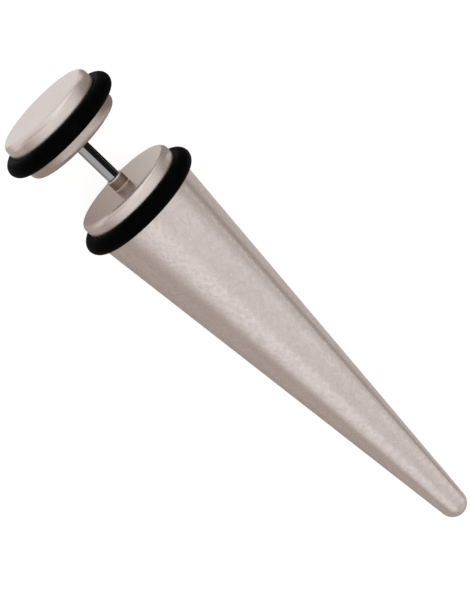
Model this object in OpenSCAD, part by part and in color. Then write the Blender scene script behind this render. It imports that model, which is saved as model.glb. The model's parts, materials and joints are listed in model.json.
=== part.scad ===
// Faux taper earring: a conical head and a flat disc joined by a slim post.
// It lies on its side, on the rubber ring of the head and on the tip.
// All sizes are in millimetres. Each head is turned about its own axis.

/* [Post] */
// Diameter of the worn stretch
post_d = 1.2; // [0.8:0.1:1.2]
// Space between the two flat faces that sit on the lobe
wearing_gap = 5.5; // [4.5:0.1:9]
// Length of the end that screws into the head
thread_length = 3; // [1.5:0.1:4]
// Length of the end that is pressed into the disc
spigot_length = 1.6; // [1:0.1:2.5]

/* [Conical head] */
// Length from the flat collar to the tip
head_length = 42; // [25:1:60]
// Diameter of the cone at its rubber ring
cone_d = 10; // [9.4:0.1:10.2]
// Radius of the rounded tip
tip_r = 1.27; // [0.8:0.01:2]
// Diameter of the collar in front of the ring
collar_d = 9.7; // [9.4:0.1:10]
// Rounding of the collar's rim
collar_rounding = 0.5; // [0.2:0.05:0.8]
// Distance from the collar's face to the middle of the ring
head_ring_at = 1.95; // [1.8:0.05:3]

/* [Boss] */
// Diameter of the small boss around the end of the post
boss_d = 1.55; // [1.55:0.05:2.2]
// Height of the boss above the collar's face
boss_height = 1; // [0.6:0.1:1.5]
// Rounding of the boss's rim
boss_rounding = 0.06; // [0.02:0.01:0.06]

/* [Front disc] */
// Diameter of the disc
disc_d = 9.35; // [9.2:0.05:9.8]
// Thickness of the disc
disc_thickness = 3.95; // [3.8:0.05:5]
// Rounding of both rims
disc_rounding = 0.58; // [0.2:0.02:0.8]
// Distance from the disc's back to the middle of the ring
disc_ring_at = 1.9; // [1.8:0.05:2]

/* [Rubber rings] */
// Thickness of the rubber
ring_section = 1.6; // [1.4:0.05:1.7]
// Outer diameter of the head's ring
head_ring_od = 11.8; // [11.6:0.05:12]
// Outer diameter of the disc's ring
disc_ring_od = 11.6; // [11.2:0.05:11.6]

/* [Hidden] */

$fn = 96;

// Room round the rubber in its groove, and round the post in its two holes
groove_clearance = 0.03;
hole_clearance = 0.03;

// Both ends of the post step down from its worn stretch, as the thread does
end_step = 0.16;
end_d = post_d - 2 * end_step;

// Plating on both heads, polished steel and rubber
champagne = [0.78, 0.74, 0.71];
steel = [0.6, 0.6, 0.62];
black = [0.03, 0.03, 0.03];

// Rubber rings
tube_r = ring_section / 2;
groove_r = tube_r + groove_clearance;
head_ring_r = head_ring_od / 2 - tube_r;
disc_ring_r = disc_ring_od / 2 - tube_r;

// Holes for the post: a little wider and deeper than the end in them
hole_r = end_d / 2 + hole_clearance;
hole_spare = 0.3;
head_hole_depth = thread_length + hole_spare;
disc_hole_depth = spigot_length + hole_spare;

// The disc's hole is countersunk, a little wider than the worn stretch
sink_r = post_d / 2 + hole_clearance;
sink_depth = sink_r - hole_r;

// The cone's side touches the tip's sphere without a corner
tip_at = head_length - tip_r;
cone_run = tip_at - head_ring_at;
cone_half_angle = atan2(cone_d / 2, cone_run) - asin(tip_r / norm([cone_run, cone_d / 2]));
tangent_r = tip_r * cos(cone_half_angle);
tangent_at = tip_at + tip_r * sin(cone_half_angle);

// The head's lowest circle is its ring and the far end rests on the tip, so the axis leans
rest_reach = norm([cone_run, head_ring_r]);
lean = atan2(head_ring_r, cone_run) - asin((tip_r - tube_r) / rest_reach);
axis_height = tip_r + tip_at * sin(lean);

// Ends of the whole along the ground, which centre it on the origin
disc_back = -wearing_gap;
disc_front = disc_back - disc_thickness;
rim_at = disc_front + disc_rounding;
rim_r = disc_d / 2 - disc_rounding;
far_end = tip_at * cos(lean) + tip_r;
near_end = rim_at * cos(lean) - rim_r * sin(lean) - disc_rounding;
middle = (far_end + near_end) / 2;

// Worn stretch of the post, from the disc's back to just before the boss
boss_gap = 0.02;
worn_length = wearing_gap - boss_height - boss_gap;

// The thinner core runs the whole length of the post, and its screw end is chamfered
lead_in = 0.15;
core_length = spigot_length + worn_length + boss_gap + thread_length - lead_in;

// The seam of each turned face lies high on one side, well clear of the floor
seam_turn = 135;

// Puts a shape turned about Z on its side, with the collar's face at zero and the tip along +X
module lying() {
    translate([-middle, 0, axis_height])
        rotate([0, 90 + lean, 0])
            rotate([0, 0, seam_turn])
                children();
}

// Section of a ring of rubber, or of the groove for it
module ring_section_at(centre_r, at, r) {
    translate([centre_r, at])
        circle(r);
}

// Section of a round block with a rounded lower rim, and a rounded upper rim where it is asked for
module rounded_block(r, from, to, lower, upper = 0) {
    polygon([
        [0, from],
        [r - lower, from],
        [r - lower, from + lower],
        [r, from + lower],
        [r, to - upper],
        [r - upper, to - upper],
        [r - upper, to],
        [0, to]
    ]);
    translate([r - lower, from + lower])
        circle(lower);
    if (upper > 0)
        translate([r - upper, to - upper])
            circle(upper);
}

// Section of the cone with its round tip
module cone_section() {
    polygon([
        [0, head_ring_at],
        [cone_d / 2, head_ring_at],
        [tangent_r, tangent_at],
        [0, tangent_at]
    ]);
    intersection() {
        translate([0, tip_at])
            circle(tip_r);
        translate([0, tip_at])
            square([tip_r, tip_r]);
    }
}

module taper() {
    color(champagne)
        lying()
            rotate_extrude()
                difference() {
                    union() {
                        cone_section();
                        rounded_block(collar_d / 2, 0, head_ring_at, collar_rounding);
                        rounded_block(boss_d / 2, -boss_height, head_ring_at, boss_rounding);
                    }
                    ring_section_at(head_ring_r, head_ring_at, groove_r);
                    translate([0, -boss_height])
                        square([hole_r, head_hole_depth]);
                }
}

module taper_o_ring() {
    color(black)
        lying()
            rotate_extrude()
                ring_section_at(head_ring_r, head_ring_at, tube_r);
}

module post() {
    color(steel)
        lying()
            union() {
                translate([0, 0, disc_back - spigot_length])
                    cylinder(d = end_d, h = core_length);
                translate([0, 0, disc_back])
                    cylinder(d = post_d, h = worn_length);
                translate([0, 0, disc_back - spigot_length + core_length])
                    cylinder(d1 = end_d, d2 = end_d - 2 * lead_in, h = lead_in);
            }
}

module disc() {
    color(champagne)
        lying()
            rotate_extrude()
                difference() {
                    rounded_block(disc_d / 2, disc_front, disc_back, disc_rounding, disc_rounding);
                    ring_section_at(disc_ring_r, disc_back - disc_ring_at, groove_r);
                    translate([0, disc_back - disc_hole_depth])
                        square([hole_r, disc_hole_depth]);
                    polygon([
                        [0, disc_back - sink_depth],
                        [hole_r, disc_back - sink_depth],
                        [sink_r, disc_back],
                        [0, disc_back]
                    ]);
                }
}

module disc_o_ring() {
    color(black)
        lying()
            rotate_extrude()
                ring_section_at(disc_ring_r, disc_back - disc_ring_at, tube_r);
}

taper();
taper_o_ring();
post();
disc();
disc_o_ring();
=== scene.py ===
"""Dresses a faux taper earring: two plated heads, their rubber rings and a polished screw post."""

import json
import math

import bpy
from bpy.props import FloatProperty, FloatVectorProperty, IntProperty, PointerProperty
from mathutils import Matrix, Vector


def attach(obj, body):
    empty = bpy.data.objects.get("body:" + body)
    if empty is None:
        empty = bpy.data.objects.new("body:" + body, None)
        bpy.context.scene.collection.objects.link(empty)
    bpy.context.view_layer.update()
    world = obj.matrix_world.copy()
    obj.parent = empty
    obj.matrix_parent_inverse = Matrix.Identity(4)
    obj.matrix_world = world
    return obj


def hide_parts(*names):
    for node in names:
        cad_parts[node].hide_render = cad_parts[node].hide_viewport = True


bl_info = {
    "name": "Faux taper earring",
    "version": (1, 0, 0),
    "blender": (4, 5, 0),
    "location": "3D View > Sidebar > Earring",
    "description": "Turns the plated heads, rubber rings and screw post of a faux taper earring",
    "category": "Object",
}

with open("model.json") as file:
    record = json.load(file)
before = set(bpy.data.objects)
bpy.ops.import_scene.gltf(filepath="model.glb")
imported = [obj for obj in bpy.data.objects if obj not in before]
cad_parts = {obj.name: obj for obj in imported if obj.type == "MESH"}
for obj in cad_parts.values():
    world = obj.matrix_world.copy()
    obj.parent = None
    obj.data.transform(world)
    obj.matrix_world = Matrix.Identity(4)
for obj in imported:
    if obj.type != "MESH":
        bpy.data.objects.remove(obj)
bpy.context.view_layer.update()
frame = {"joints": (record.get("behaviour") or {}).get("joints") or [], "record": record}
MM = 0.001
QUARTER = math.pi / 2

# Steps round the heads and the rings, and round the post
SEGMENTS = 160
POST_SEGMENTS = 96

# The earring's axis, from the disc towards the tip, and the middle of the collar's face.
# The post's mount lies on the axis, in the middle of the worn stretch, which ends at the post's
# shoulder, a hair before the top of the boss.
AXIS = -Vector(frame["joints"][0]["axis"]).normalized()
MOUNT = frame["record"]["mounts"][0]
SHOULDER = 1.02 * MM
COLLAR = Vector(MOUNT["pos_m"]) + AXIS * (MOUNT["dims"]["length_mm"] * MM / 2 + SHOULDER)
PLACE = Matrix.Translation(COLLAR) @ Vector((0, 0, 1)).rotation_difference(AXIS).to_matrix().to_4x4()


# Settings

def length(name, description, millimetres):
    """A size that the panel shows in the scene's unit of length."""
    return FloatProperty(
        name=name,
        description=description,
        default=millimetres * MM,
        min=0,
        unit="LENGTH",
        precision=5,
    )


def angle(name, description, degrees):
    """An angle that the panel shows in degrees."""
    return FloatProperty(
        name=name,
        description=description,
        default=math.radians(degrees),
        subtype="ANGLE",
    )


def share(name, description, default):
    """A part of one."""
    return FloatProperty(
        name=name,
        description=description,
        default=default,
        min=0,
        max=1,
        subtype="FACTOR",
    )


def colour(name, description, default):
    """A linear colour."""
    return FloatVectorProperty(
        name=name,
        description=description,
        default=default,
        size=3,
        min=0,
        max=1,
        subtype="COLOR",
    )


class HeadSizes(bpy.types.PropertyGroup):
    """Sizes of the conical head, measured from the collar's face."""
    head_length: length("Length", "From the collar's face to the tip", 41.999)
    cone_radius: length("Cone radius", "Radius of the cone at its rubber ring", 5)
    tip_radius: length("Tip radius", "Radius of the round tip", 1.269)
    collar_radius: length("Collar radius", "Radius of the collar in front of the ring", 4.85)
    collar_rounding: length("Collar rounding", "Rounding of the collar's rim", 0.5)
    boss_radius: length("Boss radius", "Radius of the small boss round the post", 0.775)
    boss_height: length("Boss height", "Height of the boss above the collar's face", 1)
    boss_rounding: length("Boss rounding", "Rounding of the boss's rim", 0.06)
    boss_fillet: length("Boss fillet", "Hollow rounding between the boss and the collar's face", 0.05)
    # The bright edge keeps the plating's own colour; the boss's side below it carries painted shade.
    boss_edge: length("Boss edge", "Width of the bright edge on the boss, next to its top", 0.06)
    hole_radius: length("Hole radius", "Radius of the hole for the screw end", 0.47)
    hole_depth: length("Hole depth", "Depth of the hole from the boss's top", 3.3)


class DiscSizes(bpy.types.PropertyGroup):
    """Sizes of the flat disc."""
    radius: length("Radius", "Radius of the disc", 4.675)
    thickness: length("Thickness", "Thickness of the disc", 3.949)
    rounding: length("Rounding", "Rounding of both rims", 0.58)
    gap: length("Gap", "From the disc's back to the collar's face", 5.5)
    hole_radius: length("Hole radius", "Radius of the hole for the pressed end", 0.47)
    hole_depth: length("Hole depth", "Depth of the hole for the pressed end", 1.9)
    sink_radius: length("Countersink radius", "Radius of the countersink at the disc's back", 0.63)


class RingSizes(bpy.types.PropertyGroup):
    """Sizes of the rubber rings and of their grooves."""
    rubber_radius: length("Rubber radius", "Radius of the rubber's round section", 0.797)
    head_radius: length("Head ring", "Radius of the head's ring at the middle of the rubber", 5.1)
    head_at: length("Head ring from the collar", "From the face to the middle of the ring", 1.95)
    disc_radius: length("Disc ring", "Radius of the disc's ring at the middle of the rubber", 5)
    disc_at: length("Disc ring from the back", "From the disc's back to the middle of its ring", 1.9)
    groove_room: length("Groove room", "Room between the rubber and its groove", 0.033)
    flash_height: length("Mould line", "Height of the moulding line round the rubber", 0.012)


class PostSizes(bpy.types.PropertyGroup):
    """Sizes of the post."""
    worn_radius: length("Worn radius", "Radius of the stretch that sits in the lobe", 0.6)
    end_radius: length("End radius", "Radius of the screw end and of the pressed end", 0.44)
    screw_length: length("Screw length", "Length of the end that screws into the head", 3)
    pressed_length: length("Pressed length", "Length of the end that is pressed into the disc", 1.6)
    pitch: length("Pitch", "Distance from one turn of the thread to the next", 0.225)
    thread_depth: length("Thread depth", "Depth of the thread", 0.1)
    lead_in: length("Lead-in", "Chamfer on the screw's end", 0.15)
    edge: length("Edge", "Chamfer on the ends of the worn stretch", 0.04)


class Finishes(bpy.types.PropertyGroup):
    """Colours and surfaces."""
    champagne: colour("Champagne", "Colour of the plating", (0.72, 0.645, 0.615))
    champagne_deep: colour("Deep champagne", "Colour between the plating's grains", (0.6, 0.52, 0.49))
    # Painted shade: this dark brown stands in for the shade and dark reflections on the boss, and in
    # part behind the disc's ring.
    bronze: colour("Bronze", "Colour of the small boss round the post", (0.24, 0.165, 0.13))
    steel: colour("Steel", "Colour of the polished post", (0.45, 0.45, 0.47))
    rubber: colour("Rubber", "Colour of the rubber rings", (0.001, 0.001, 0.0013))
    satin: share("Satin roughness", "Roughness of the cone and of the disc's back", 0.26)
    polish: share("Polished roughness", "Roughness of the disc's front, the collar and the boss", 0.24)
    grain_size: length("Grain size", "Size of the pearly grains of the plating", 0.25)
    segments: IntProperty(
        name="Segments",
        description="Steps round each head and each ring",
        default=SEGMENTS,
        min=24,
        max=256,
    )


class View(bpy.types.PropertyGroup):
    """Camera of the photograph, placed from the collar's face."""
    tilt: angle("Tilt", "Turn of the line of sight from square to the earring's axis", 15.738)
    roll: angle("Roll", "Dip of the earring's axis in the picture", 43.86)
    distance: length("Distance", "From the camera to the collar along the line of sight", 272.7)
    across: length("Across", "Collar's place left of the picture's middle", 9.41)
    above: length("Above", "Collar's place above the picture's middle", 9.594)
    focal: FloatProperty(
        name="Focal length",
        description="Focal length of the lens, in millimetres",
        default=196.32,
        min=50,
        max=400,
    )


# Node trees

class Value:
    """A number in a node tree, so that the rule of a shape reads as a sum."""

    def __init__(self, tree, socket):
        self.tree = tree
        self.socket = socket

    def calc(self, operation, *others):
        """The result of an operation on this number and the others."""
        node = self.tree.nodes.new("ShaderNodeMath")
        node.operation = operation
        for index, item in enumerate((self, *others)):
            feed(self.tree, node.inputs[index], item)
        return Value(self.tree, node.outputs[0])

    def held(self):
        """The number, held between 0 and 1."""
        return self.calc("MAXIMUM", 0.0).calc("MINIMUM", 1.0)

    def __add__(self, other):
        return self.calc("ADD", other)

    def __sub__(self, other):
        return self.calc("SUBTRACT", other)

    def __mul__(self, other):
        return self.calc("MULTIPLY", other)

    def __truediv__(self, other):
        return self.calc("DIVIDE", other)

    def __neg__(self):
        return self.calc("MULTIPLY", -1)


def feed(tree, socket, item):
    """Links a value to a socket, or sets the socket where the item is a plain number."""
    source = getattr(item, "socket", item)
    if isinstance(source, bpy.types.NodeSocket):
        tree.links.new(source, socket)
    else:
        socket.default_value = source


def add(tree, kind, feeds=None, **settings):
    """Adds a node, sets its options and feeds its inputs."""
    node = tree.nodes.new(kind)
    for option, choice in settings.items():
        setattr(node, option, choice)
    for socket, item in (feeds or {}).items():
        feed(tree, node.inputs[socket], item)
    return node


def either(mask, bare, masked):
    """A value that is the first where the mask is 0 and the second where it is 1."""
    return mask * (masked - bare) + bare


def corner(tree, at, radius):
    """A point of a section: its place along the axis and its radius."""
    return add(tree, "ShaderNodeCombineXYZ", {"X": radius, "Y": -at}).outputs[0]


# Marks that a section leaves on its surface for the material. The boss's mark and the mark behind the
# disc's ring carry painted shade.
POLISHED = ("polish",)
RIM = ("polish", "rim")
BOSS_SHADED = ("polish", "bronze")
BACK_SHADED = ("deeper",)


class Section:
    """Collects the lines and arcs of a turned piece's section, from one pole to the other."""

    def __init__(self, tree):
        self.tree = tree
        self.parts = []

    def mark(self, curve, marks):
        """Keeps a stretch of the section, with the marks that it leaves on its surface."""
        for name in marks:
            kept = add(
                self.tree,
                "GeometryNodeStoreNamedAttribute",
                {"Geometry": curve, "Name": name, "Value": 1.0},
                data_type="FLOAT",
                domain="POINT",
            )
            curve = kept.outputs["Geometry"]
        self.parts.append(curve)

    def line(self, start, end, cuts, marks=()):
        """A straight stretch between two points, each a place along the axis and a radius."""
        straight = add(
            self.tree,
            "GeometryNodeCurvePrimitiveLine",
            {"Start": corner(self.tree, *start), "End": corner(self.tree, *end)},
        )
        cut = add(self.tree, "GeometryNodeSubdivideCurve", {"Curve": straight.outputs[0], "Cuts": cuts})
        self.mark(cut.outputs[0], marks)

    def arc(self, centre, radius, start, sweep, points, marks=()):
        """A round stretch about a centre, from a start angle through a sweep."""
        bend = add(
            self.tree,
            "GeometryNodeCurveArc",
            {"Resolution": points, "Radius": radius, "Start Angle": start, "Sweep Angle": sweep},
            mode="RADIUS",
        )
        moved = add(
            self.tree,
            "GeometryNodeTransform",
            {"Geometry": bend.outputs["Curve"], "Translation": corner(self.tree, *centre)},
        )
        self.mark(moved.outputs[0], marks)

    def joined(self):
        """All stretches in one geometry."""
        join = add(self.tree, "GeometryNodeJoinGeometry")
        for part in self.parts:
            self.tree.links.new(part, join.inputs[0])
        return join.outputs[0]


def new_tree(name, sizes):
    """A geometry tree with a finish, a number of segments and the named sizes as inputs."""
    tree = bpy.data.node_groups.new(name, "GeometryNodeTree")
    tree.is_modifier = True
    tree.interface.new_socket("Geometry", in_out="OUTPUT", socket_type="NodeSocketGeometry")
    tree.interface.new_socket("Finish", in_out="INPUT", socket_type="NodeSocketMaterial")
    segments = tree.interface.new_socket("Segments", in_out="INPUT", socket_type="NodeSocketInt")
    segments.default_value = SEGMENTS
    for size, default in sizes.items():
        socket = tree.interface.new_socket(size, in_out="INPUT", socket_type="NodeSocketFloat")
        socket.default_value = default
    entry = tree.nodes.new("NodeGroupInput")
    inputs = {size: Value(tree, entry.outputs[size]) for size in ("Finish", "Segments", *sizes)}
    return tree, inputs


def lathe():
    """Turns a section about the axis, welds its seam and poles and marks its sharp edges."""
    name = "Lathe"
    if name in bpy.data.node_groups:
        return bpy.data.node_groups[name]
    # The section is carried round a circle of this radius, shifted inwards by as much
    mandrel = MM
    weld_within = 2e-7
    sharp_from = math.radians(32)
    tree = bpy.data.node_groups.new(name, "GeometryNodeTree")
    tree.interface.new_socket("Mesh", in_out="OUTPUT", socket_type="NodeSocketGeometry")
    tree.interface.new_socket("Section", in_out="INPUT", socket_type="NodeSocketGeometry")
    tree.interface.new_socket("Segments", in_out="INPUT", socket_type="NodeSocketInt")
    entry = tree.nodes.new("NodeGroupInput")
    path = add(
        tree,
        "GeometryNodeCurvePrimitiveCircle",
        {"Resolution": entry.outputs["Segments"], "Radius": mandrel},
    )
    shifted = add(
        tree,
        "GeometryNodeTransform",
        {"Geometry": entry.outputs["Section"], "Translation": (-mandrel, 0, 0)},
    )
    turned = add(
        tree,
        "GeometryNodeCurveToMesh",
        {"Curve": path.outputs["Curve"], "Profile Curve": shifted.outputs[0]},
    )
    outward = add(tree, "GeometryNodeFlipFaces", {"Mesh": turned.outputs[0]})
    welded = add(
        tree,
        "GeometryNodeMergeByDistance",
        {"Geometry": outward.outputs[0], "Distance": weld_within},
    )
    smooth = add(
        tree,
        "GeometryNodeSetShadeSmooth",
        {"Geometry": welded.outputs[0], "Shade Smooth": True},
    )
    bend = add(tree, "GeometryNodeInputMeshEdgeAngle")
    sharp = add(
        tree,
        "FunctionNodeCompare",
        {"A": bend.outputs["Unsigned Angle"], "B": sharp_from},
        data_type="FLOAT",
        operation="GREATER_THAN",
    )
    edged = add(
        tree,
        "GeometryNodeSetShadeSmooth",
        {"Geometry": smooth.outputs[0], "Selection": sharp.outputs[0], "Shade Smooth": False},
        domain="EDGE",
    )
    leave = tree.nodes.new("NodeGroupOutput")
    tree.links.new(edged.outputs[0], leave.inputs["Mesh"])
    return tree


def turn(tree, section, segments):
    """Places the lathe group in a tree."""
    group = tree.nodes.new("GeometryNodeGroup")
    group.node_tree = lathe()
    feed(tree, group.inputs["Section"], section)
    feed(tree, group.inputs["Segments"], segments)
    return group.outputs["Mesh"]


def close_tree(tree, geometry, finish):
    """Ends a tree in real geometry with its material."""
    real = add(tree, "GeometryNodeRealizeInstances", {"Geometry": geometry})
    painted = add(tree, "GeometryNodeSetMaterial", {"Geometry": real.outputs[0], "Material": finish})
    leave = tree.nodes.new("NodeGroupOutput")
    tree.links.new(painted.outputs[0], leave.inputs["Geometry"])


def grow(name, tree, sizes, finish, segments):
    """Runs a tree and gives its result as a plain mesh, laid in its place on the earring."""
    carrier = bpy.data.objects.new(name + "_carrier", bpy.data.meshes.new(name + "_carrier"))
    bpy.context.scene.collection.objects.link(carrier)
    modifier = carrier.modifiers.new(name, "NODES")
    modifier.node_group = tree
    given = {"Finish": finish, "Segments": segments, **sizes}
    for item in tree.interface.items_tree:
        if item.item_type == "SOCKET" and item.in_out == "INPUT":
            modifier[item.identifier] = given[item.name]
    bpy.context.view_layer.update()
    graph = bpy.context.evaluated_depsgraph_get()
    mesh = bpy.data.meshes.new_from_object(carrier.evaluated_get(graph))
    bpy.data.objects.remove(carrier)
    if not mesh.polygons:
        raise RuntimeError(f"the tree for {name} made no faces")
    mesh.transform(PLACE)
    mesh.name = name
    piece = bpy.data.objects.new(name, mesh)
    bpy.context.scene.collection.objects.link(piece)
    return piece


def wrap(piece, node, body):
    """Puts a finished piece in the frame in place of its node."""
    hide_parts(node)
    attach(piece, body)


# Turned shapes

def taper_tree(sizes):
    """The conical head: hole, boss, collar, groove, cone and round tip."""
    tree, size = new_tree("Turned taper", sizes)
    s = Section(tree)
    hole = size["Hole radius"]
    top = -size["Boss height"]
    floor = top + size["Hole depth"]
    boss = size["Boss radius"]
    boss_r = size["Boss rounding"]
    edge_at = top + boss_r + size["Boss edge"]
    fillet = size["Boss fillet"]
    collar = size["Collar radius"]
    collar_r = size["Collar rounding"]
    ring_at = size["Ring place"]
    ring = size["Ring radius"]
    groove = size["Groove radius"]
    tip = size["Tip radius"]
    tip_at = size["Length"] - tip
    run = tip_at - ring_at
    cone = size["Cone radius"]
    slant = (cone.calc("MULTIPLY", cone) + run.calc("MULTIPLY", run)).calc("SQRT")
    half_angle = cone.calc("ARCTAN2", run) - (tip / slant).calc("ARCSINE")
    # The distance of the ring's middle outside the cone's side gives the groove's far lip
    outside = (ring - cone) * half_angle.calc("COSINE")
    far = (outside / groove).calc("ARCSINE") + half_angle
    near = ((ring - collar) / groove).calc("ARCSINE")
    lip_at = ring_at - groove * near.calc("COSINE")
    far_lip = (ring_at + groove * far.calc("COSINE"), ring - groove * far.calc("SINE"))
    side_end = (tip_at + tip * half_angle.calc("SINE"), tip * half_angle.calc("COSINE"))
    s.line((floor, 0.0), (floor, hole), cuts=1)
    s.line((floor, hole), (top, hole), cuts=3)
    s.line((top, hole), (top, boss - boss_r), cuts=3, marks=POLISHED)
    s.arc((top + boss_r, boss - boss_r), boss_r, QUARTER, -QUARTER, points=8, marks=POLISHED)
    s.line((top + boss_r, boss), (edge_at, boss), cuts=2, marks=POLISHED)
    # The boss's side below its edge carries painted shade in dark brown.
    s.line((edge_at, boss), (-fillet, boss), cuts=14, marks=BOSS_SHADED)
    s.arc((-fillet, boss + fillet), fillet, math.pi, QUARTER, points=8, marks=POLISHED)
    s.line((0.0, boss + fillet), (0.0, collar - collar_r), cuts=14, marks=POLISHED)
    s.arc((collar_r, collar - collar_r), collar_r, QUARTER, -QUARTER, points=14, marks=RIM)
    s.line((collar_r, collar), (lip_at, collar), cuts=6, marks=POLISHED)
    s.arc((ring_at, ring), groove, near + QUARTER, -far - near + math.pi, points=32)
    s.line(far_lip, side_end, cuts=30)
    s.arc((tip_at, 0.0), tip, -half_angle, half_angle - QUARTER, points=20)
    close_tree(tree, turn(tree, s.joined(), size["Segments"]), size["Finish"])
    return tree


def disc_tree(sizes):
    """The flat disc: front face, rims, groove, back face, countersink and hole."""
    tree, size = new_tree("Turned disc", sizes)
    s = Section(tree)
    radius = size["Radius"]
    rounding = size["Rounding"]
    back = -size["Gap"]
    front = back - size["Thickness"]
    ring_at = back - size["Ring place"]
    ring = size["Ring radius"]
    groove = size["Groove radius"]
    lip = ((ring - radius) / groove).calc("ARCSINE")
    reach = groove * lip.calc("COSINE")
    hole = size["Hole radius"]
    sink = size["Countersink radius"]
    floor = back - size["Hole depth"]
    rim = radius - rounding
    s.line((front, 0.0), (front, rim), cuts=16, marks=POLISHED)
    s.arc((front + rounding, rim), rounding, QUARTER, -QUARTER, points=16, marks=RIM)
    s.line((front + rounding, radius), (ring_at - reach, radius), cuts=4, marks=POLISHED)
    s.arc((ring_at, ring), groove, lip + QUARTER, lip * -2 + math.pi, points=32, marks=POLISHED)
    # Behind the ring the disc's side and back rim carry painted shade.
    s.line((ring_at + reach, radius), (back - rounding, radius), cuts=4, marks=BACK_SHADED)
    s.arc((back - rounding, rim), rounding, 0.0, -QUARTER, points=16, marks=BACK_SHADED)
    s.line((back, rim), (back, sink), cuts=14)
    s.line((back, sink), (back - sink + hole, hole), cuts=1)
    s.line((back - sink + hole, hole), (floor, hole), cuts=2)
    s.line((floor, hole), (floor, 0.0), cuts=1)
    close_tree(tree, turn(tree, s.joined(), size["Segments"]), size["Finish"])
    return tree


def ring_tree(sizes):
    """A rubber ring: a round section swept round the axis, with a fine moulding line."""
    tree, size = new_tree("Rubber ring", sizes)
    points = 96
    path = add(
        tree,
        "GeometryNodeCurvePrimitiveCircle",
        {"Resolution": size["Segments"], "Radius": size["Ring radius"]},
    )
    section = add(
        tree,
        "GeometryNodeCurvePrimitiveCircle",
        {"Resolution": points, "Radius": size["Rubber radius"]},
    )
    # Every point of the section but the outermost and the innermost lies a little lower
    index = Value(tree, tree.nodes.new("GeometryNodeInputIndex").outputs[0])
    off_line = index.calc("MODULO", points / 2).calc("MINIMUM", 1.0)
    place = add(tree, "GeometryNodeInputPosition").outputs[0]
    inward = add(
        tree,
        "ShaderNodeVectorMath",
        {0: place, "Scale": off_line * size["Mould line"] / size["Rubber radius"] * -1},
        operation="SCALE",
    )
    lined = add(
        tree,
        "GeometryNodeSetPosition",
        {"Geometry": section.outputs["Curve"], "Offset": inward.outputs[0]},
    )
    swept = add(
        tree,
        "GeometryNodeCurveToMesh",
        {"Curve": path.outputs["Curve"], "Profile Curve": lined.outputs[0]},
    )
    smooth = add(
        tree,
        "GeometryNodeSetShadeSmooth",
        {"Geometry": swept.outputs[0], "Shade Smooth": True},
    )
    shift = add(tree, "ShaderNodeCombineXYZ", {"Z": size["Ring place"]})
    moved = add(
        tree,
        "GeometryNodeTransform",
        {"Geometry": smooth.outputs[0], "Translation": shift.outputs[0]},
    )
    close_tree(tree, moved.outputs[0], size["Finish"])
    return tree


# The thread's cut in shares of its depth: its value at the middle of the root, which is held to the
# whole depth, and how much it falls in each pitch from there
THREAD_ROOT = 1.55
THREAD_SLOPE = 2.6
# Pitches left uncut at the shoulder, and the share of the end's radius that the cut leaves alone
THREAD_RUNOUT = 0.8
THREAD_CORE = 0.6


def post_tree(sizes):
    """The post: pressed end, worn stretch and screw end with a cut thread."""
    tree, size = new_tree("Screw post", sizes)
    s = Section(tree)
    worn = size["Worn radius"]
    end = size["End radius"]
    edge = size["Edge"]
    back = -size["Gap"]
    foot = back - size["Pressed length"]
    shoulder = -size["Shoulder"]
    tip = size["Screw length"] - size["Boss height"]
    lead = size["Lead-in"]
    s.line((foot, 0.0), (foot, end - edge), cuts=1)
    s.line((foot, end - edge), (foot + edge, end), cuts=1)
    s.line((foot + edge, end), (back, end), cuts=2)
    s.line((back, end), (back, worn - edge), cuts=1)
    s.line((back, worn - edge), (back + edge, worn), cuts=1)
    s.line((back + edge, worn), (shoulder - edge, worn), cuts=16)
    s.line((shoulder - edge, worn), (shoulder, worn - edge), cuts=1)
    s.line((shoulder, worn - edge), (shoulder, end), cuts=1)
    s.line((shoulder, end), (tip - lead, end), cuts=190)
    s.line((tip - lead, end), (tip, end - lead), cuts=12)
    s.line((tip, end - lead), (tip, 0.0), cuts=1)
    turned = turn(tree, s.joined(), size["Segments"])
    split = add(tree, "ShaderNodeSeparateXYZ", {0: add(tree, "GeometryNodeInputPosition").outputs[0]})
    x = Value(tree, split.outputs[0])
    y = Value(tree, split.outputs[1])
    z = Value(tree, split.outputs[2])
    turns = z / size["Pitch"] - y.calc("ARCTAN2", x) / (2 * math.pi)
    from_root = turns.calc("PINGPONG", 0.5)
    root = (from_root * -THREAD_SLOPE + THREAD_ROOT).held()
    # The thread runs out before the shoulder and leaves the other stretches alone
    runout = ((z - shoulder) / size["Pitch"] - THREAD_RUNOUT).held()
    radius = (x.calc("MULTIPLY", x) + y.calc("MULTIPLY", y)).calc("SQRT")
    outer = ((radius / end - THREAD_CORE) * (1 / (1 - THREAD_CORE))).held()
    cut = root * runout * outer * size["Thread depth"]
    off_axis = radius.calc("MAXIMUM", 1e-6)
    shrink = cut / off_axis * -1
    offset = add(tree, "ShaderNodeCombineXYZ", {"X": x * shrink, "Y": y * shrink})
    threaded = add(tree, "GeometryNodeSetPosition", {"Geometry": turned, "Offset": offset.outputs[0]})
    close_tree(tree, threaded.outputs[0], size["Finish"])
    return tree


# Shared effects of the materials

def effect(name, inputs, outputs):
    """A shader group with named inputs and outputs."""
    tree = bpy.data.node_groups.new(name, "ShaderNodeTree")
    for socket, kind, default in inputs:
        made = tree.interface.new_socket(socket, in_out="INPUT", socket_type=kind)
        if default is not None:
            made.default_value = default
    for socket in outputs:
        tree.interface.new_socket(socket, in_out="OUTPUT", socket_type="NodeSocketFloat")
    entry = tree.nodes.new("NodeGroupInput")
    leave = tree.nodes.new("NodeGroupOutput")
    return tree, entry.outputs, leave.inputs


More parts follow.
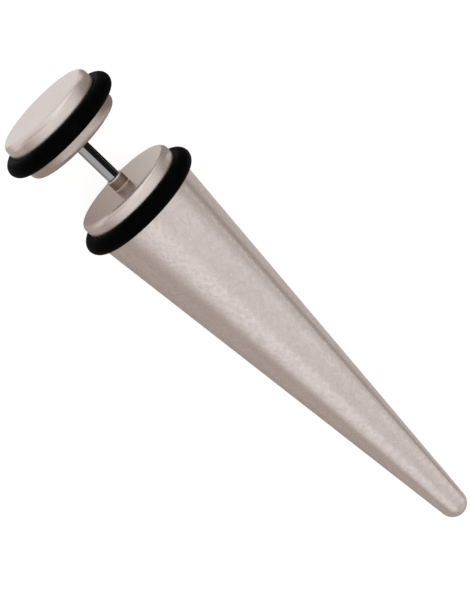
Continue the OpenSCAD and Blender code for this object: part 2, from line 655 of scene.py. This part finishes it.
def fine_grain():
    """Grains, brighter specks among them and slow clouds."""
    name = "Fine grain"
    if name in bpy.data.node_groups:
        return bpy.data.node_groups[name]
    tree, entry, leave = effect(
        name,
        (("Place", "NodeSocketVector", None), ("Grains per metre", "NodeSocketFloat", 6000.0)),
        ("Height", "Specks", "Clouds"),
    )
    specks_per_grain = 0.9
    clouds_per_grain = 0.05
    count = Value(tree, entry["Grains per metre"])
    grains = add(
        tree,
        "ShaderNodeTexNoise",
        {"Vector": entry["Place"], "Scale": count, "Detail": 2.0, "Roughness": 0.6},
    )
    cells = add(
        tree,
        "ShaderNodeTexVoronoi",
        {"Vector": entry["Place"], "Scale": count * specks_per_grain},
    )
    shade = add(tree, "ShaderNodeSeparateColor", {0: cells.outputs["Color"]})
    slow = add(
        tree,
        "ShaderNodeTexNoise",
        {
            "Vector": entry["Place"],
            "Scale": count * clouds_per_grain,
            "Detail": 3.0,
            "Roughness": 0.55,
        },
    )
    tree.links.new(grains.outputs[0], leave["Height"])
    tree.links.new(shade.outputs[0], leave["Specks"])
    tree.links.new(slow.outputs[0], leave["Clouds"])
    return tree


def handling_marks():
    """Hairline scratches in several directions, broken up into short stretches."""
    name = "Handling marks"
    if name in bpy.data.node_groups:
        return bpy.data.node_groups[name]
    tree, entry, leave = effect(
        name,
        (("Place", "NodeSocketVector", None), ("Amount", "NodeSocketFloat", 0.5)),
        ("Scratches", "Smudges"),
    )
    # Two sets of hairlines: the turn of each, and how much finer it is across than along
    sets = (((0.3, 0.2, 0.7), 26.0), ((1.1, 0.5, 2.2), 34.0))
    stretches_per_metre = 90.0
    scratched_from = 0.66
    sharpness = 9.0
    smudges_per_metre = 260.0
    total = None
    for turned, finer in sets:
        across = finer * stretches_per_metre
        laid = add(
            tree,
            "ShaderNodeMapping",
            {
                "Vector": entry["Place"],
                "Rotation": turned,
                "Scale": (stretches_per_metre, across, across),
            },
        )
        streaks = add(
            tree,
            "ShaderNodeTexNoise",
            {"Vector": laid.outputs[0], "Scale": 1.0, "Detail": 1.0},
        )
        line = ((Value(tree, streaks.outputs[0]) - scratched_from) * sharpness).held()
        total = line if total is None else total.calc("MAXIMUM", line)
    smudge = add(
        tree,
        "ShaderNodeTexNoise",
        {
            "Vector": entry["Place"],
            "Scale": smudges_per_metre,
            "Detail": 4.0,
            "Roughness": 0.6,
            "Distortion": 0.6,
        },
    )
    scratches = total * Value(tree, entry["Amount"])
    tree.links.new(scratches.socket, leave["Scratches"])
    tree.links.new(smudge.outputs[0], leave["Smudges"])
    return tree


def use(tree, group, feeds):
    """Places a shader group in a material and feeds it."""
    node = tree.nodes.new("ShaderNodeGroup")
    node.node_tree = group
    for socket, item in feeds.items():
        feed(tree, node.inputs[socket], item)
    return {socket.name: Value(tree, socket) for socket in node.outputs}


def new_material(name, **fixed):
    """A material with one Principled shader whose fixed values sit on its own sockets."""
    material = bpy.data.materials.new(name)
    material.use_nodes = True
    tree = material.node_tree
    shader = tree.nodes["Principled BSDF"]
    for socket, value in fixed.items():
        shader.inputs[socket.replace("_", " ")].default_value = value
    place = add(tree, "ShaderNodeTexCoord").outputs["Object"]
    return material, tree, shader, place


def blend(tree, factor, low, high):
    """Mixes two colours. A Mix node has its sockets for numbers and vectors before these."""
    node = add(tree, "ShaderNodeMix", {0: factor, 6: low, 7: high}, data_type="RGBA")
    return node.outputs[2]


def solid(values):
    """A colour with its alpha."""
    return (*values, 1.0)


def attribute(tree, name):
    """A mark that the node trees left on the mesh."""
    return Value(tree, add(tree, "ShaderNodeAttribute", attribute_name=name).outputs["Fac"])


# Share of the dark brown in the painted shade behind the disc's ring
BACK_SHADE_SHARE = 0.38


def champagne_plating(look):
    """Champagne plating: satin and pearly on the cone and the disc's back, smoother elsewhere, with
    painted shade in dark brown on the boss and behind the disc's ring.
    """
    name = "Champagne plating"
    if name in bpy.data.materials:
        return bpy.data.materials[name]
    material, tree, shader, place = new_material(name, Metallic=0.8)
    rim = attribute(tree, "rim")
    satin = attribute(tree, "polish") * -1 + 1.0
    grain = use(tree, fine_grain(), {"Place": place, "Grains per metre": 1 / look.grain_size})
    marks = use(tree, handling_marks(), {"Place": place, "Amount": 0.5})
    # The deep colour gathers in the grain, the clouds and the scratches, and is worn off the rims
    mottle = grain["Specks"] * 0.5 * either(satin, 0.25, 1.0) + grain["Clouds"] * 0.5
    worn = mottle - rim * 0.25 + marks["Scratches"] * satin * 0.1
    plain = blend(tree, worn.calc("MAXIMUM", 0.0), solid(look.champagne), solid(look.champagne_deep))
    # Painted shade: the boss's side, and in part the disc's back behind its ring, blend towards a dark
    # brown.
    painted_shade_mask = attribute(tree, "bronze") + attribute(tree, "deeper") * BACK_SHADE_SHARE
    tinted = blend(tree, painted_shade_mask, plain, solid(look.bronze))
    tree.links.new(tinted, shader.inputs["Base Color"])
    rough = either(satin, look.polish, look.satin)
    rough = rough + (grain["Specks"] - 0.5) * 0.1 * satin
    rough = rough + (marks["Smudges"] - 0.5) * 0.1 + marks["Scratches"] * 0.06 + rim * 0.04
    feed(tree, shader.inputs["Roughness"], rough)
    scratched = marks["Scratches"] * either(satin, 0.05, 0.3)
    height = grain["Height"] * either(satin, 0.1, 1.0) - scratched
    bump = add(tree, "ShaderNodeBump", {"Strength": 0.22, "Distance": 0.03 * MM, "Height": height})
    tree.links.new(bump.outputs[0], shader.inputs["Normal"])
    return material


def polished_steel(look):
    """Mirror-polished steel with the last faint lines of its turning."""
    name = "Polished steel"
    if name in bpy.data.materials:
        return bpy.data.materials[name]
    material, tree, shader, place = new_material(name, Metallic=1.0)
    # Turning lines for each metre along the post, and breaks in them for each metre round it
    lines_along = 42000.0
    breaks_round = 300.0
    lean = math.atan2(AXIS.z, AXIS.x)
    laid = add(
        tree,
        "ShaderNodeMapping",
        {
            "Vector": place,
            "Rotation": (0.0, lean, 0.0),
            "Scale": (lines_along, breaks_round, breaks_round),
        },
    )
    lines = add(tree, "ShaderNodeTexNoise", {"Vector": laid.outputs[0], "Scale": 1.0, "Detail": 2.0})
    marks = use(tree, handling_marks(), {"Place": place, "Amount": 0.4})
    turned = Value(tree, lines.outputs[0])
    dulled = solid([shade * 0.8 for shade in look.steel])
    tone = blend(tree, marks["Smudges"] * 0.35, solid(look.steel), dulled)
    tree.links.new(tone, shader.inputs["Base Color"])
    rough = turned * 0.05 + marks["Smudges"] * 0.06 + marks["Scratches"] * 0.1 + 0.02
    feed(tree, shader.inputs["Roughness"], rough)
    height = turned * 0.3 - marks["Scratches"]
    bump = add(tree, "ShaderNodeBump", {"Strength": 0.1, "Distance": 0.01 * MM, "Height": height})
    tree.links.new(bump.outputs[0], shader.inputs["Normal"])
    return material


def black_rubber(look):
    """Smooth black rubber with a fine moulded skin and a little dust."""
    name = "Black rubber"
    if name in bpy.data.materials:
        return bpy.data.materials[name]
    material, tree, shader, place = new_material(name, Specular_IOR_Level=0.01)
    skin_grains = 14000.0
    grain = use(tree, fine_grain(), {"Place": place, "Grains per metre": skin_grains})
    marks = use(tree, handling_marks(), {"Place": place, "Amount": 0.3})
    dust = (grain["Clouds"] - 0.45).calc("MAXIMUM", 0.0) * 0.8 + marks["Scratches"] * 0.4
    dusty = solid([shade * 6 for shade in look.rubber])
    tone = blend(tree, dust, solid(look.rubber), dusty)
    tree.links.new(tone, shader.inputs["Base Color"])
    rough = grain["Clouds"] * 0.12 + marks["Smudges"] * 0.1 + 0.36
    feed(tree, shader.inputs["Roughness"], rough)
    height = grain["Height"]
    bump = add(tree, "ShaderNodeBump", {"Strength": 0.25, "Distance": 0.01 * MM, "Height": height})
    tree.links.new(bump.outputs[0], shader.inputs["Normal"])
    return material


# Operators

def settings(name):
    """One group of the earring's settings."""
    return getattr(bpy.context.scene, "earring_" + name)


def named_sizes(name):
    """The sizes of one group, under the names that the panel shows."""
    group = settings(name)
    shown = group.bl_rna.properties
    return {shown[item].name: getattr(group, item) for item in GROUPS[name].__annotations__}


class EARRING_OT_taper(bpy.types.Operator):
    """Turn the conical head with its collar, boss and groove"""
    bl_idname = "earring.taper"
    bl_label = "Conical head"

    def execute(self, context):
        rings = settings("rings")
        look = settings("look")
        sizes = {
            **named_sizes("head"),
            "Ring place": rings.head_at,
            "Ring radius": rings.head_radius,
            "Groove radius": rings.rubber_radius + rings.groove_room,
        }
        piece = grow("plated_taper", taper_tree(sizes), sizes, champagne_plating(look), look.segments)
        wrap(piece, "taper", "head")
        return {"FINISHED"}


class EARRING_OT_disc(bpy.types.Operator):
    """Turn the flat disc with its rounded rims and groove"""
    bl_idname = "earring.disc"
    bl_label = "Flat disc"

    def execute(self, context):
        rings = settings("rings")
        look = settings("look")
        sizes = {
            **named_sizes("disc"),
            "Ring place": rings.disc_at,
            "Ring radius": rings.disc_radius,
            "Groove radius": rings.rubber_radius + rings.groove_room,
        }
        piece = grow("plated_disc", disc_tree(sizes), sizes, champagne_plating(look), look.segments)
        wrap(piece, "disc", "front")
        return {"FINISHED"}


class EARRING_OT_rings(bpy.types.Operator):
    """Mould the two rubber rings"""
    bl_idname = "earring.rings"
    bl_label = "Rubber rings"

    def execute(self, context):
        rings = settings("rings")
        disc = settings("disc")
        look = settings("look")
        common = {"Rubber radius": rings.rubber_radius, "Mould line": rings.flash_height}
        head = {**common, "Ring radius": rings.head_radius, "Ring place": rings.head_at}
        front = {**common, "Ring radius": rings.disc_radius, "Ring place": -disc.gap - rings.disc_at}
        tree = ring_tree(head)
        rubber = black_rubber(look)
        head_ring = grow("head_rubber_ring", tree, head, rubber, look.segments)
        disc_ring = grow("disc_rubber_ring", tree, front, rubber, look.segments)
        wrap(head_ring, "taper_o_ring", "head")
        wrap(disc_ring, "disc_o_ring", "front")
        return {"FINISHED"}


class EARRING_OT_post(bpy.types.Operator):
    """Turn the polished post and cut its thread"""
    bl_idname = "earring.post"
    bl_label = "Screw post"

    def execute(self, context):
        look = settings("look")
        sizes = {
            **named_sizes("post"),
            "Gap": settings("disc").gap,
            "Boss height": settings("head").boss_height,
            "Shoulder": SHOULDER,
        }
        piece = grow("polished_post", post_tree(sizes), sizes, polished_steel(look), POST_SEGMENTS)
        wrap(piece, "post", "front")
        return {"FINISHED"}


# Point that the soft lights face, their distance from it, and how far they lean towards the tip
MIDDLE = Vector((0, 0, 5 * MM))
LIGHT_DISTANCE = 0.25
LIGHT_LEAN = 0.3


def facing(direction, distance, centre):
    """Place of a flat thing that faces the centre, with its first side along the earring."""
    out = direction.normalized()
    along = (Vector((1, 0, 0)) - out * out.x).normalized()
    turned = Matrix((along, out.cross(along), out)).transposed().to_4x4()
    return Matrix.Translation(centre + out * distance) @ turned


def soft_light(name, direction, wide, deep, glow, lights):
    """A softbox that fills wide by deep degrees and glows evenly."""
    along = 2 * LIGHT_DISTANCE * math.tan(math.radians(wide) / 2)
    across = 2 * LIGHT_DISTANCE * math.tan(math.radians(deep) / 2)
    lamp = bpy.data.lights.new(name, "AREA")
    lamp.shape = "RECTANGLE"
    lamp.size = along
    lamp.size_y = across
    lamp.energy = glow * math.pi * along * across
    holder = bpy.data.objects.new(name, lamp)
    holder.matrix_world = facing(direction, LIGHT_DISTANCE, MIDDLE)
    holder.visible_camera = False
    holder.light_linking.receiver_collection = lights
    bpy.context.scene.collection.objects.link(holder)


def arch(turn, forward):
    """Direction at an angle from straight above, leaning forward along the earring."""
    up = math.radians(turn)
    return Vector((forward, math.sin(up), math.cos(up)))


def lit_by(name, piece, state):
    """A collection that lets a light reach the piece alone, or everything else."""
    linked = bpy.data.collections.new(name)
    linked.objects.link(piece)
    linked.collection_objects[0].light_linking.link_state = state
    return linked


def glowing(name, points, faces, shades, lights):
    """A glowing sheet that the camera doesn't see, with a shade for each of its points."""
    mesh = bpy.data.meshes.new(name)
    mesh.from_pydata(points, [], faces)
    layer = mesh.color_attributes.new("shade", "FLOAT_COLOR", "POINT")
    for point, shade in zip(layer.data, shades):
        point.color = solid(shade)
    material = bpy.data.materials.new(name)
    material.use_nodes = True
    tree = material.node_tree
    tree.nodes.clear()
    cloth = add(tree, "ShaderNodeAttribute", attribute_name="shade").outputs["Color"]
    glow = add(tree, "ShaderNodeEmission", {"Color": cloth})
    leave = add(tree, "ShaderNodeOutputMaterial")
    tree.links.new(glow.outputs[0], leave.inputs["Surface"])
    mesh.materials.append(material)
    sheet = bpy.data.objects.new(name, mesh)
    bpy.context.scene.collection.objects.link(sheet)
    sheet.visible_camera = False
    sheet.visible_shadow = False
    sheet.light_linking.receiver_collection = lights
    return sheet


# Papers on the floor, each laid on the last: glowing sheets of painted light and shade that only the
# metal sees in its reflections. Each row holds its name, its two corners on the photograph's left and
# its two on the right, in millimetres, and its shade on the left and on the right
PALE = (0.88, 0.85, 0.84)
SIDE_TAN = (0.28, 0.24, 0.215)
DARK_TAN = (0.26, 0.22, 0.2)
FOOT_TAN = (0.63, 0.58, 0.56)
LINE_TAN = (0.29, 0.25, 0.23)
LEFT_TAN = (0.5, 0.45, 0.42)
MIDDLE_TAN = (0.29, 0.232, 0.2)
MIDDLE_PALE = (0.77, 0.735, 0.7)
PAPERS = (
    ("front_paper", ((-300, -150), (-23.5, -150), (-23.5, 150), (-300, 150)), PALE, PALE),
    ("middle_paper", ((-23.5, -6), (-16.5, -6), (-16.5, 6), (-23.5, 6)), MIDDLE_TAN, MIDDLE_PALE),
    ("left_paper", ((-31, -20), (-20, -20), (-20, -6.5), (-31, -6.5)), LEFT_TAN, LEFT_TAN),
    ("side_paper", ((-90, 20), (-30, 20), (-30, 300), (-90, 300)), SIDE_TAN, SIDE_TAN),
    ("dark_paper", ((-30, 6), (-10, 6), (-10, 60), (-30, 60)), DARK_TAN, DARK_TAN),
    ("right_paper", ((-2, 44), (36.7, 0), (600, 0), (120, 468)), PALE, PALE),
    ("far_paper", ((-30, 70), (5.5, 70), (120, 468), (-30, 468)), DARK_TAN, DARK_TAN),
    ("foot_paper", ((-14, 3), (26, 0.5), (28, 3.6), (-14, 22.8)), FOOT_TAN, FOOT_TAN),
    ("line_paper", ((-10.2, 21.1), (26.1, 4.5), (28.6, 10), (1.6, 48.7)), LINE_TAN, LINE_TAN),
)
PAPER_STEP = 0.002 * MM


def lay_papers(lights):
    """Lays the papers: glowing sheets of painted reflections, light and shade that only shiny surfaces
    see.
    """
    for layer, (name, corners, left, right) in enumerate(PAPERS):
        points = [(x * MM, y * MM, layer * PAPER_STEP) for x, y in corners]
        sheet = glowing(name, points, [(0, 1, 2, 3)], (left, left, right, right), lights)
        sheet.visible_diffuse = False


def stepped(steps, place):
    """The value at a place in a row of (place, value), with a straight blend between two of them."""
    for (start, low), (end, high) in zip(steps, steps[1:]):
        if place <= end:
            return low + (high - low) * max(place - start, 0) / (end - start)
    return steps[-1][1]


# How the tent's cloth glows, each a row of (degrees, glow): beside the cone and over it by the turn
# round the earring, ahead of the disc by the heading, and how it dims by the lean towards the tip
BESIDE = (
    (-74, 0.47), (-56, 0.95), (-40, 1.07), (-28, 1.11),
    (-8, 1.11), (-1, 0.86), (40, 0.86), (65, 0.97),
)
OVER = (
    (-90, 0.42), (-67, 0.62), (-43, 0.86), (-21, 0.98), (0, 0.97),
    (21, 1.0), (43, 0.97), (65, 0.78), (76, 0.6), (90, 0.3),
)
AHEAD = ((-42, 0.55), (-30, 0.8), (-10, 0.88), (5, 1.15), (33, 1.25), (48, 0.7), (85, 0.4))
DIMMING = ((36, 1.0), (50, 0.72))
# Leans between which each stretch of the cloth holds: ahead up to the first, over from the second to
# the third, and beside from the fourth
LEANS = (-30, -6, 22, 28)
# How warm a dim cloth is, and the share of green and of blue that the warmest loses
WARMTH = ((0.46, 1.0), (0.84, 0.0))
WARM_GREEN = 0.11
WARM_BLUE = 0.19


def tent_shade(lean, turn):
    """Shade of the tent's cloth at a lean along the earring and a turn round it, both in degrees."""
    sideways = math.cos(math.radians(lean)) * math.sin(math.radians(turn))
    heading = math.degrees(math.atan2(sideways, max(-math.sin(math.radians(lean)), 1e-6)))
    over = stepped(OVER, turn)
    beside = stepped(BESIDE, turn) * stepped(DIMMING, lean)
    stretches = (stepped(AHEAD, heading), over, over, beside)
    glow = stepped(tuple(zip(LEANS, stretches)), lean)
    warmth = stepped(WARMTH, glow)
    return (glow, glow * (1 - WARM_GREEN * warmth), glow * (1 - WARM_BLUE * warmth))


def light_tent(lights):
    """A half-round tent of white cloth over the earring, which glows in place of cloth lit from
    outside.
    """
    radius = 0.45
    leans = range(-90, 91, 5)
    turns = range(-90, 91, 3)
    points = []
    shades = []
    for lean in leans:
        for turn in turns:
            along = math.radians(lean)
            aside = math.radians(turn)
            up = math.cos(along) * radius
            points.append((math.sin(along) * radius, up * math.sin(aside), up * math.cos(aside)))
            shades.append(tent_shade(lean, turn))
    row = len(turns)
    faces = []
    for index in range(row * (len(leans) - 1)):
        if (index + 1) % row:
            faces.append((index, index + 1, index + row + 1, index + row))
    glowing("light_tent", points, faces, shades, lights)


# The floor's glow and grey to the camera, and its grey to the metal above it
FLOOR_GLOW = 0.8
FLOOR_WHITE = (0.4, 0.4, 0.4)
FLOOR_GREY = (0.6, 0.545, 0.51)


def floor_material():
    """White to the camera with a faint contact shadow, and a warm grey to the metal above it."""
    material = bpy.data.materials.new("Pale floor")
    material.use_nodes = True
    tree = material.node_tree
    tree.nodes.clear()
    ray = add(tree, "ShaderNodeLightPath").outputs["Is Camera Ray"]
    glow = add(tree, "ShaderNodeEmission", {"Color": (1, 1, 1, 1), "Strength": FLOOR_GLOW})
    white = add(tree, "ShaderNodeBsdfDiffuse", {"Color": solid(FLOOR_WHITE)})
    grey = add(tree, "ShaderNodeBsdfDiffuse", {"Color": solid(FLOOR_GREY)})
    seen = add(tree, "ShaderNodeAddShader")
    tree.links.new(glow.outputs[0], seen.inputs[0])
    tree.links.new(white.outputs[0], seen.inputs[1])
    mixed = add(tree, "ShaderNodeMixShader", {0: ray})
    tree.links.new(grey.outputs[0], mixed.inputs[1])
    tree.links.new(seen.outputs[0], mixed.inputs[2])
    leave = add(tree, "ShaderNodeOutputMaterial")
    tree.links.new(mixed.outputs[0], leave.inputs["Surface"])
    return material


# The world's strength to everything but the camera, and to the camera
WORLD_LIGHT = 0.03
WORLD_SEEN = 0.93


class EARRING_OT_stage(bpy.types.Operator):
    """Lay the floor, hang the lights and set the camera"""
    bl_idname = "earring.stage"
    bl_label = "Floor, light and camera"

    def execute(self, context):
        scene = context.scene
        view = settings("view")
        mesh = bpy.data.meshes.new("floor")
        half = 2.0
        drop = -0.02 * MM
        corners = [(-half, -half, drop), (half, -half, drop), (half, half, drop), (-half, half, drop)]
        mesh.from_pydata(corners, [], [(0, 1, 2, 3)])
        mesh.materials.append(floor_material())
        floor = bpy.data.objects.new("floor", mesh)
        scene.collection.objects.link(floor)

        post = bpy.data.objects["polished_post"]
        others = lit_by("all_but_the_post", post, "EXCLUDE")
        alone = lit_by("the_post_alone", post, "INCLUDE")
        light_tent(others)
        strip = arch(-47, LIGHT_LEAN)
        fill = arch(55, LIGHT_LEAN)
        soft_light("post_strip", strip, wide=100, deep=96, glow=0.75, lights=alone)
        soft_light("post_fill", fill, wide=100, deep=100, glow=0.018, lights=alone)
        lay_papers(others)

        world = bpy.data.worlds.new("studio")
        world.use_nodes = True
        tree = world.node_tree
        backdrop = tree.nodes["Background"]
        backdrop.inputs["Color"].default_value = (1, 1, 1, 1)
        ray = Value(tree, add(tree, "ShaderNodeLightPath").outputs["Is Camera Ray"])
        feed(tree, backdrop.inputs["Strength"], either(ray, WORLD_LIGHT, WORLD_SEEN))
        scene.world = world
        scene.view_settings.view_transform = "Standard"

        dip = math.asin(-AXIS.z)
        turn_down = view.tilt - dip
        sight = Vector((math.sin(turn_down), 0, -math.cos(turn_down)))
        along = (AXIS - sight * AXIS.dot(sight)).normalized()
        side = sight.cross(along)
        right = along * math.cos(view.roll) - side * math.sin(view.roll)
        down = along * math.sin(view.roll) + side * math.cos(view.roll)
        place = COLLAR + right * view.across + down * view.above - sight * view.distance
        lens = bpy.data.cameras.new("photo_camera")
        lens.lens = view.focal
        lens.sensor_width = 36
        lens.clip_start = 0.005
        lens.clip_end = 20
        camera = bpy.data.objects.new("photo_camera", lens)
        turned = Matrix((right, -down, -sight)).transposed().to_4x4()
        camera.matrix_world = Matrix.Translation(place) @ turned
        scene.collection.objects.link(camera)
        scene.camera = camera
        return {"FINISHED"}


OPERATORS = (EARRING_OT_taper, EARRING_OT_disc, EARRING_OT_rings, EARRING_OT_post, EARRING_OT_stage)
GROUPS = {
    "head": HeadSizes,
    "disc": DiscSizes,
    "rings": RingSizes,
    "post": PostSizes,
    "look": Finishes,
    "view": View,
}


class EARRING_PT_bench(bpy.types.Panel):
    """Makes the earring's pieces and its stage from their sizes"""
    bl_idname = "EARRING_PT_bench"
    bl_label = "Faux taper earring"
    bl_space_type = "VIEW_3D"
    bl_region_type = "UI"
    bl_category = "Earring"

    def draw(self, context):
        column = self.layout.column()
        for operator in OPERATORS:
            column.operator(operator.bl_idname)
        for name, group in GROUPS.items():
            box = self.layout.box()
            box.label(text=name.capitalize())
            for item in group.__annotations__:
                box.prop(getattr(context.scene, "earring_" + name), item)


def register():
    for group in GROUPS.values():
        bpy.utils.register_class(group)
    for name, group in GROUPS.items():
        setattr(bpy.types.Scene, "earring_" + name, PointerProperty(type=group))
    for operator in OPERATORS:
        bpy.utils.register_class(operator)
    bpy.utils.register_class(EARRING_PT_bench)


def unregister():
    bpy.utils.unregister_class(EARRING_PT_bench)
    for operator in reversed(OPERATORS):
        bpy.utils.unregister_class(operator)
    for name in GROUPS:
        delattr(bpy.types.Scene, "earring_" + name)
    for group in reversed(GROUPS.values()):
        bpy.utils.unregister_class(group)


def main():
    register()
    bpy.ops.earring.taper()
    bpy.ops.earring.disc()
    bpy.ops.earring.rings()
    bpy.ops.earring.post()
    bpy.ops.earring.stage()


if __name__ == "__main__":
    main()
